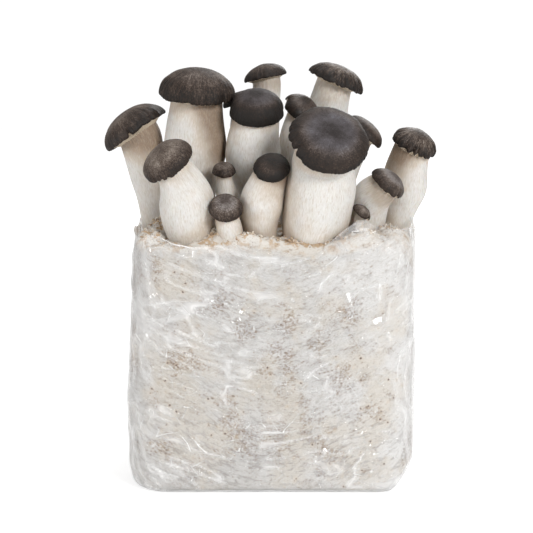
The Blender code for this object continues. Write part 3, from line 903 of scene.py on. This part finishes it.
def crevices(index, points):
    """How narrow the gap to the nearest other stem is, from 0 in the open to 1 where they touch."""
    nearest = np.full(points.shape[:-1], 100.0)
    for other, mushroom in enumerate(MUSHROOMS):
        if other != index:
            for x, y, z, radius in spline(mushroom[-1], 3):
                gap = np.linalg.norm(points - (x, y, z + BLOCK_TOP), axis=-1) - radius
                nearest = np.minimum(nearest, gap)
    return np.exp(-np.clip(nearest, 0, None) / 11)


def make_stem(index, name, stations, neck, placing, cap_radius):
    """A thick stem with lengthwise fibres, ribbed where it spreads into the gills."""
    axis = np.array((placing.to_3x3() @ Vector((0, 0, 1))).normalized())
    join = np.array(placing @ Vector((0, 0, -GILL_DEPTH_RATIO * cap_radius)))
    centre, radius, walked = stem_path(stations, neck, join, axis)
    wide = radius.max()
    rows = len(walked)
    columns = int(np.clip(2 * math.pi * wide / STEM_COLUMN, *STEM_COLUMNS))
    around = np.linspace(0, 2 * math.pi, columns, endpoint=False)
    first, second = (np.array(side)[:, None, :] for side in ring_frames(centre))
    direction = np.cos(around)[None, :, None] * first + np.sin(around)[None, :, None] * second
    radius, up = radius[:, None], walked[:, None]
    grain = on_grid((rows, columns), np.cos(around) * wide, np.sin(around) * wide, up)
    to_top = walked[-1] - STEM_IN_CAP - up
    lumps = layered_noise(grain / (26, 26, 34) + index * 3, 111 + index, 2) * 0.03 * radius
    fibres = layered_noise(grain * (0.42, 0.42, 0.05) + index, 131 + index, 3) * 0.09
    ribs = np.sin(around * int(wide * 1.9)) * 0.16 * ramp(12, 2, to_top)
    points = centre[:, None, :] + direction * (radius + lumps + fibres + ribs)[..., None]

    # Painted shade in the stem's colour: brown and dark right under the cap, on the side that faces the
    # heading and where other stems are close; also darker and warmer towards the foot, with a little random
    # tone.
    crevice_shade, heading, side_shade, collar = STEM_SHADES.get(name, USUAL_SHADE)
    heading = math.radians(heading)
    facing = np.clip(direction @ (math.cos(heading), math.sin(heading), 0), 0, 1) ** 1.3
    cap_and_side_shade = ramp(cap_radius * 0.85, 0, to_top) * collar
    cap_and_side_shade = cap_and_side_shade + side_shade * facing * ramp(cap_radius * 2.3, cap_radius * 0.3, to_top)
    painted_shade_and_tone = cap_and_side_shade + ramp(38, 0, up) * 0.3
    painted_shade_and_tone = painted_shade_and_tone + layered_noise(grain / (14, 14, 40) + index, 151 + index, 2) * 0.05
    painted_shade_and_tone = painted_shade_and_tone + crevice_shade * crevices(index, points)
    attributes = {
        "grain": with_poles(grain, (0, 0, 0), (0, 0, walked[-1])),
        "painted_shade_and_tone": with_poles(painted_shade_and_tone, 0.4, 0.4),
    }
    add_piece(name + "_stem", with_poles(points, centre[0], centre[-1]), grid_faces(rows, columns, True),
              [FLESH], "stem_" + name, attributes)


# ---------------------------------------------------------------- block, crust and film

def rounded_outline(half_width, half_depth, corner, pitch):
    """Points and outward directions round a rounded rectangle, from the middle of the front, and the
    nearest points on the line along the middle of its top or bottom face."""
    points = [(0, -half_depth)]
    outward = [(0, -1)]
    for number, (sign_x, sign_y) in enumerate([(1, -1), (1, 1), (-1, 1), (-1, -1)]):
        for angle in np.radians(np.linspace(-90, 0, 16) + 90 * number):
            points.append((sign_x * (half_width - corner) + corner * math.cos(angle),
                           sign_y * (half_depth - corner) + corner * math.sin(angle)))
            outward.append((math.cos(angle), math.sin(angle)))
    points = np.array(points + points[:1])
    walked = walked_lengths(points)
    even = np.linspace(0, walked[-1], int(walked[-1] / pitch), endpoint=False)
    points = resampled(even, walked, points)
    outward = resampled(even, walked, np.array(outward + outward[:1]))
    outward /= np.linalg.norm(outward, axis=1, keepdims=True)
    reach = half_width - half_depth
    middle = np.stack([np.clip(points[:, 0], -reach, reach), points[:, 1] * 0], axis=-1)
    return points, outward, middle


def at_level(ring, level):
    """Points of a flat ring at one level, or each at its own."""
    return np.column_stack([ring, np.broadcast_to(level, len(ring))])


def flat_rows(ring, middle, level, shares):
    """Rings between the middle line and a rim, all at one level."""
    return [at_level(middle + (ring - middle) * share, level) for share in shares]


def bottom_rows(outline, outward, middle, low):
    """Rings of a flat bottom, from its middle out, and up round its edge."""
    rim = outline - outward * BOTTOM_RADIUS
    rows = flat_rows(rim, middle, low, np.linspace(0, 1, BOTTOM_ROWS + 1)[:-1])
    for angle in np.radians(np.linspace(0, 90, EDGE_ROWS)):
        ring = outline - outward * BOTTOM_RADIUS * (1 - math.sin(angle))
        rows.append(at_level(ring, low + BOTTOM_RADIUS * (1 - math.cos(angle))))
    return rows


def grid_of(rows):
    """The rings as one grid, with its normals, which point straight down on the flat bottom."""
    grid = np.array(rows)
    normals = grid_normals(grid)
    normals[:BOTTOM_ROWS] = (0, 0, -1)
    return grid, normals


def swelled(x, y, usual, swells):
    """A height that leaves its usual value near the given places."""
    height = np.full(np.shape(x), float(usual))
    for place_x, place_y, reach, rise in swells:
        distance = np.hypot(x - place_x, y - place_y) / reach
        height = height + rise * np.exp(-distance ** 2)
    return height


def settle(grid, inset):
    """Moves the block's or film's even shape to the sagging one: a slope at the right-hand bottom
    edge, ends that lean and belly, and a back corner that is pulled outwards."""
    outward = np.array((SLUMP_HEIGHT, 0, -SLUMP_WIDTH)) / math.hypot(SLUMP_WIDTH, SLUMP_HEIGHT)
    edge = np.array((HALF_WIDTH + SLUMP_OUT, 0, SLUMP_HEIGHT))
    beyond = np.clip((grid - edge) @ outward + inset, 0, None)
    grid = grid - beyond[..., None] * outward
    x, y, z = np.moveaxis(grid, -1, 0)
    left = ramp(-50, -98, x)
    right = ramp(50, 98, x)
    back = ramp(10, 60, y)
    belly = ramp(130, 55, z) * ramp(5, 20, z)
    lean = left * (LEFT_LEAN * ramp(120, 176, z) - LEFT_BELLY * belly)
    lean = lean + right * (1 - back) * (RIGHT_BELLY - RIGHT_LEAN * ramp(110, 140, z))
    lean = lean + right * back * BACK_CORNER_OUT * ramp(155, 178, z)
    return grid + on_grid(lean.shape, lean, 0, 0)


def gaps_to_stems(x, y):
    """The distance from each stem's foot, below 0 inside it."""
    for mushroom in MUSHROOMS:
        foot_x, foot_y, _, radius = mushroom[-1][0]
        yield np.hypot(x - foot_x, y - foot_y) - radius


def crust_pits(place):
    """The gaps between the crust's lumps, from 0 to 1, which are sunk into the crust and painted
    darker as shade.
    """
    return ridges(soft_noise(place / 5.5, 221) * 1.3, 4) * patches(place / 17, 231, -0.4, 0.3)


def crust_height(x, y):
    """Height of the crust above the block's top: heaps, lumps, and a collar round each stem."""
    place = on_grid(np.shape(x), x, y, 0)
    lumps = layered_noise(place / 9, 201, 3)
    flakes = np.abs(soft_noise(place / 3.6, 241)) * 1.8
    height = swelled(x, y, 1.2, HEAP_SWELLS) + lumps * 1.8 + flakes - crust_pits(place) * 2.2
    for gap in gaps_to_stems(x, y):
        height = height + 2.2 * np.exp(-(np.clip(gap, 0, None) / 3) ** 2) * (0.6 + 0.4 * lumps)
    return height


def block_masks(even, grid, on_top):
    """Where the block is crust, pitted, thin, paler (painted light on the right, and the white
    mound), low down or at a stem's foot; the pits and feet get painted shade. The places are
    those of its even shape, and the noise runs over the sagging one."""
    x, y, z = np.moveaxis(even, -1, 0)
    thin = np.zeros(x.shape)
    for place_x, place_z, reach in THIN_PLACES:
        thin = np.maximum(thin, np.exp(-((x - place_x) ** 2 + (z - place_z) ** 2) / reach ** 2))
    elsewhere = ramp(0.15, 0.5, layered_noise(grid / 24, 195, 2))
    # Paler to the right as painted light, from the side the lamps light most, and on the white mound
    white = ramp(0.0, 0.8, x / HALF_WIDTH + 0.4 * soft_noise(grid / 40, 197))
    mound_x, mound_y, reach = WHITE_MOUND
    mound = np.exp(-((x - mound_x) ** 2 + (y - mound_y) ** 2) / reach ** 2)
    near_top = ramp(BLOCK_TOP - 2, BLOCK_TOP, z)
    return {
        "crust": ramp(BLOCK_TOP - 7, BLOCK_TOP, z) * (1 - 0.85 * mound),
        "heap": np.clip(swelled(x, y, 0, DARK_HEAPS), 0, 1) * on_top,
        # pits and foot are painted shade: the crust's colour darkens in its pits and round the stems' feet
        "pits": crust_pits(on_grid(x.shape, x, y, 0)) * near_top,
        "thin": np.where(y < -HALF_DEPTH + 8, thin, elsewhere),
        "white": np.maximum(white, mound),
        "low": ramp(75, 35, z) * ramp(4, 14, z),
        "foot": np.exp(-np.clip(np.min(list(gaps_to_stems(x, y)), axis=0), 0, None) / 3.5),
        "flow": flow_places(grid)[0],
    }


def make_block():
    """The block of substrate, with its crust of mycelium on top."""
    outline, outward, middle = rounded_outline(HALF_WIDTH, HALF_DEPTH, CORNER_RADIUS, BLOCK_PITCH)
    low = block_low[2]
    side_top = BLOCK_TOP - SHOULDER_RADIUS
    rows = bottom_rows(outline, outward, middle, low)
    for level in np.linspace(low + BOTTOM_RADIUS, side_top, SIDE_ROWS)[1:]:
        rows.append(at_level(outline, level))
    for angle in np.radians(np.linspace(0, 90, SHOULDER_ROWS))[1:]:
        ring = outline - outward * SHOULDER_RADIUS * (1 - math.cos(angle))
        rows.append(at_level(ring, side_top + SHOULDER_RADIUS * math.sin(angle)))
    shoulder = outline - outward * SHOULDER_RADIUS
    rows += flat_rows(shoulder, middle, BLOCK_TOP, np.linspace(1, 0, TOP_ROWS)[1:])
    grid, normals = grid_of(rows)

    # Lumps and pits of the sides, flatter at the ends
    x, _, z = np.moveaxis(grid, -1, 0)
    on_side = ramp(low, low + 14, z) * ramp(BLOCK_TOP, BLOCK_TOP - 14, z)
    lumps = np.clip(0.5 + layered_noise(grid / 26, 181, 3) * 0.7, 0, 1)
    pits = ridges(soft_noise(grid / 6, 187), 4) * 0.5
    slack = 1 - 0.75 * ramp(HALF_WIDTH - 22, HALF_WIDTH - 4, np.abs(x))
    even = grid - normals * ((lumps * 2.4 + pits) * on_side * slack)[..., None]

    x, y, z = np.moveaxis(even, -1, 0)
    on_top = ramp(side_top, BLOCK_TOP - 1, z)
    grid = settle(even + on_grid(x.shape, 0, 0, crust_height(x, y) * on_top), FILM_OFFSET)
    weld(add_piece("mycelium_block", grid, grid_faces(*x.shape), [MYCELIUM],
                   "substrate_block", block_masks(even, grid, on_top)))


def flow_places(grid):
    """Places on the film as seen along its creases, which hang between the corners in swags, and
    along the fainter ones that cross them."""
    x, y, z = np.moveaxis(grid, -1, 0)
    swag = 30 * np.cos(np.arctan2(x, -y * HALF_WIDTH / HALF_DEPTH) * 2)
    return np.stack([x, y, z + swag], axis=-1), np.stack([x, y, z - 0.55 * swag], axis=-1)


def crinkle_facets(x, z):
    """Small flat facets of crinkled film, longer one way, within a ring that bounds them: where they
    are, and how far each point of them stands off. The first ones slope so that they catch the
    light."""
    rng = np.random.default_rng(17)
    crinkled = np.zeros(x.shape)
    facets = np.zeros(x.shape)
    for place_x, place_z, reach in CRINKLES:
        turn = rng.uniform(0.2, 1.1)
        right, up = x - place_x, z - place_z
        along = (right * math.cos(turn) + up * math.sin(turn)) * 0.55
        beside = up * math.cos(turn) - right * math.sin(turn)
        nearest = np.full(x.shape, 1e6)
        inside = np.zeros(x.shape)
        slopes = np.zeros(x.shape)
        for number in range(FACETS + RING_FACETS):
            if number < FACETS:
                angle, out = rng.uniform(0, 2 * math.pi), reach * rng.uniform(0.15, 0.4)
            else:
                angle = (number + rng.uniform(-0.3, 0.3)) * 2 * math.pi / RING_FACETS
                out = reach * rng.uniform(0.8, 1.1)
            distance = (along - out * math.cos(angle)) ** 2 + (beside - out * math.sin(angle)) ** 2
            here = distance < nearest
            nearest = np.where(here, distance, nearest)
            slope = GLINT_SLOPE if number < GLINT_FACETS else rng.uniform(-0.3, 0.3, 2)
            plane = np.clip(slope[0] * right + slope[1] * up + 0.4, -1.2, 2.0)
            slopes = np.where(here, plane, slopes)
            inside = np.where(here, number < FACETS, inside)
        facets = np.where(inside > 0, slopes, facets)
        crinkled = np.maximum(crinkled, inside)
    return crinkled, facets


def film_relief(grid):
    """How far the film stands off its even shape, how milky its folds make it, partly the film's own
    whitening at folds and partly a painted highlight, and where it is calm.
    """
    swagged, crossing = flow_places(grid)
    x, y, z = np.moveaxis(grid, -1, 0)
    broad = ridges(soft_noise(swagged / (44, 44, 15), 311), 3)
    narrow = ridges(soft_noise(swagged / (22, 22, 7.5), 321), 4) * patches(grid / 30, 327, -0.1, 0.4)
    across = ridges(soft_noise(crossing / (20, 20, 8), 331), 4) * patches(grid / 26, 337, 0, 0.5)
    thin_lines = ridges(soft_noise(swagged / (24, 24, 6), 341), 9) * patches(grid / 19, 347, 0, 0.4)
    sway = on_grid(x.shape, soft_noise(grid / 25, 353) * 6, soft_noise(grid / 25, 355) * 6, 0)
    leaning = on_grid(x.shape, x - 0.35 * z * np.sign(x), y + 0.15 * z, z * 0.13) + sway
    upright = ridges(soft_noise(leaning / 7.3 + 0.37, 351), 2)
    near_ends = ramp(72, 92, np.abs(x))
    relief = layered_noise(grid / 30, 301, 2) * 0.8
    relief = relief + (0.8 * broad + 0.7 * narrow + 0.6 * across) * (1 - 0.6 * near_ends)
    relief = relief + 0.6 * upright * near_ends + 0.3 * thin_lines * (1 - near_ends)
    milky = (0.32 * narrow ** 2 + 0.28 * across ** 2 + 0.45 * thin_lines) * (1 - 0.6 * near_ends)
    milky = milky + 0.3 * upright * near_ends
    crinkled, facets = crinkle_facets(x, z)
    crinkled = crinkled * (y < -HALF_DEPTH + 14)
    relief = relief * (1 - 0.9 * crinkled) + crinkled * facets
    return (relief - 0.6) * ramp(0, 16, z), milky, np.maximum(0.85 * near_ends, crinkled)


def make_film():
    """The bag: thin clear film round the block, open at its ragged cut edge, which is rolled."""
    outline, outward, middle = rounded_outline(HALF_WIDTH + FILM_OFFSET, HALF_DEPTH + FILM_OFFSET,
                                               CORNER_RADIUS + FILM_OFFSET, FILM_PITCH)
    x, y = outline.T
    flat = at_level(outline, 0)
    sideways = at_level(outward, 0)
    start = FILM_BOTTOM + BOTTOM_RADIUS
    rim = swelled(x, y, BAG_RIM, RIM_SWELLS) + layered_noise(flat / 11, 361, 3) * 1.2
    rows = bottom_rows(outline, outward, middle, FILM_BOTTOM)
    rows += [at_level(outline, start + (rim - start) * part) for part in np.linspace(0, 1, FILM_ROWS)[1:]]
    grid, normals = grid_of(rows)
    relief, milky, calm = film_relief(grid)
    grid = grid + normals * relief[..., None]
    lean = ramp(BLOCK_TOP - 12, BLOCK_TOP + 4, grid[..., 2])
    sway = soft_noise(grid / (22, 22, 60), 371)
    upright = 1 - 0.9 * ramp(70, 96, x)
    grid = grid - sideways * (lean * (1.6 + 1.8 * sway) * upright)[..., None]

    # The rolled edge
    roll = swelled(x, y, ROLLED_EDGE, ROLLS) * (0.8 + 0.4 * soft_noise(flat / 9, 381))
    rolled = [grid[-1] + sideways * (roll * (1 - math.cos(angle)))[:, None]
              + np.outer(roll * math.sin(angle), (0, 0, 1)) for angle in np.radians(ROLL_ANGLES)]
    grid = settle(np.concatenate([grid, rolled]), 0)
    # The rolled edge is milky: partly its own layers of film, partly a painted highlight
    milky = np.vstack([milky, *[np.clip(roll - 0.1, 0.05, 0.7)] * len(rolled)])
    calm = np.vstack([calm, np.ones((len(rolled), len(x)))])
    weld(add_piece("wrinkled_film", grid, grid_faces(*calm.shape), [FILM], "film_bag",
                   {"flow": flow_places(grid)[0], "milky": milky, "calm": calm}))


def crumb_shape():
    """Points and faces of one rough crumb, a ball of 80 faces."""
    bm = bmesh.new()
    bmesh.ops.create_icosphere(bm, subdivisions=2, radius=1)
    points = np.array([vert.co for vert in bm.verts])
    faces = np.array([[vert.index for vert in face.verts] for face in bm.faces])
    bm.free()
    return points, faces


def make_crumbs():
    """Crumbs of substrate pushed up between the stems, as one joined mesh."""
    rng = np.random.default_rng(41)
    ball, triangles = crumb_shape()
    places = [(np.array((x, y)) + rng.normal(0, reach * 0.45, 2), pale)
              for x, y, reach, _, count, pale in HEAPS for _ in range(count)]
    points, faces, tones = [], [], []
    for (x, y), pale in places:
        if abs(x) > HALF_WIDTH - 9 or abs(y) > HALF_DEPTH - 5:
            continue
        level = BLOCK_TOP + float(crust_height(x, y))
        stretch = rng.uniform((0.8, 0.5, 0.3), (1.7, 1.2, 0.8)) * rng.uniform(0.45, 1.25)
        rough = 1 + 0.35 * soft_noise(ball * 1.7 + rng.uniform(0, 50), 401)
        turn = Matrix.Rotation(rng.uniform(0, 6.3), 3, Vector(rng.normal(0, 1, 3)).normalized())
        crumb = (ball * rough[:, None] * stretch) @ np.array(turn).T
        faces.append(triangles + len(points) * len(ball))
        points.append(crumb + (x, y, level + rng.uniform(-0.3, 0.7)))
        tones.append(np.full(len(ball), np.clip(rng.normal(pale + 0.07, 0.24), 0, 1)))
    add_piece("sawdust_crumbs", np.vstack(points), np.vstack(faces).tolist(), [CRUMBS],
              None, {"tone": np.concatenate(tones)})


# ---------------------------------------------------------------- stage

def make_light(name, place, size, power):
    """A round soft lamp that is aimed at the middle of the object."""
    lamp = bpy.data.lights.new(name, "AREA")
    lamp.shape = "DISK"
    lamp.size = size
    lamp.energy = power
    light = bpy.data.objects.new(name, lamp)
    bpy.context.scene.collection.objects.link(light)
    light.location = place
    light.rotation_euler = (Vector(LIGHT_AIM) - Vector(place)).to_track_quat("-Z", "Y").to_euler()


def make_surroundings(tree):
    """White to the camera, and warmer, dimmer light from all round for the object."""
    background = next(item for item in tree.nodes if item.type == "BACKGROUND")
    path = node(tree, "LightPath").outputs
    mirrored = times(path["Is Glossy Ray"], MIRRORED_LIGHT - AMBIENT)
    seen = times(path["Is Camera Ray"], SEEN_LIGHT - AMBIENT)
    feed(background, {
        "Color": mix_colour(path["Is Camera Ray"], WARM_LIGHT, (1, 1, 1)),
        "Strength": plus(mirrored, seen, AMBIENT),
    })


def make_stage():
    """A pale floor, soft studio light and the camera."""
    bpy.ops.mesh.primitive_plane_add(size=6, location=(0, 0, 0))
    floor = bpy.context.object
    floor.name = "floor"
    floor.data.materials.append(make_material(pale_floor))
    scene = bpy.context.scene
    scene.view_settings.view_transform = "Standard"
    scene.world = bpy.data.worlds.new("studio")
    scene.world.use_nodes = True
    make_surroundings(scene.world.node_tree)
    for lamp in LAMPS:
        make_light(*lamp)
    data = bpy.data.cameras.new("camera")
    data.lens = 100
    data.sensor_width = 36
    camera = bpy.data.objects.new("camera", data)
    scene.collection.objects.link(camera)
    elevation = math.radians(CAMERA_ELEVATION)
    back = Vector((0, -math.cos(elevation), math.sin(elevation)))
    camera.location = Vector(CAMERA_AIM) + back * CAMERA_DISTANCE
    camera.rotation_euler = (math.radians(90) - elevation, 0, 0)
    scene.camera = camera


make_stage()
make_block()
make_film()
make_crumbs()
for number, (name, centre, radius, height, pointed, tilt, heading, neck, stations) in enumerate(MUSHROOMS):
    placing = cap_matrix(centre, tilt, heading)
    make_cap(number, name, placing, radius, height, pointed, neck)
    make_stem(number, name, stations, neck, placing, radius)
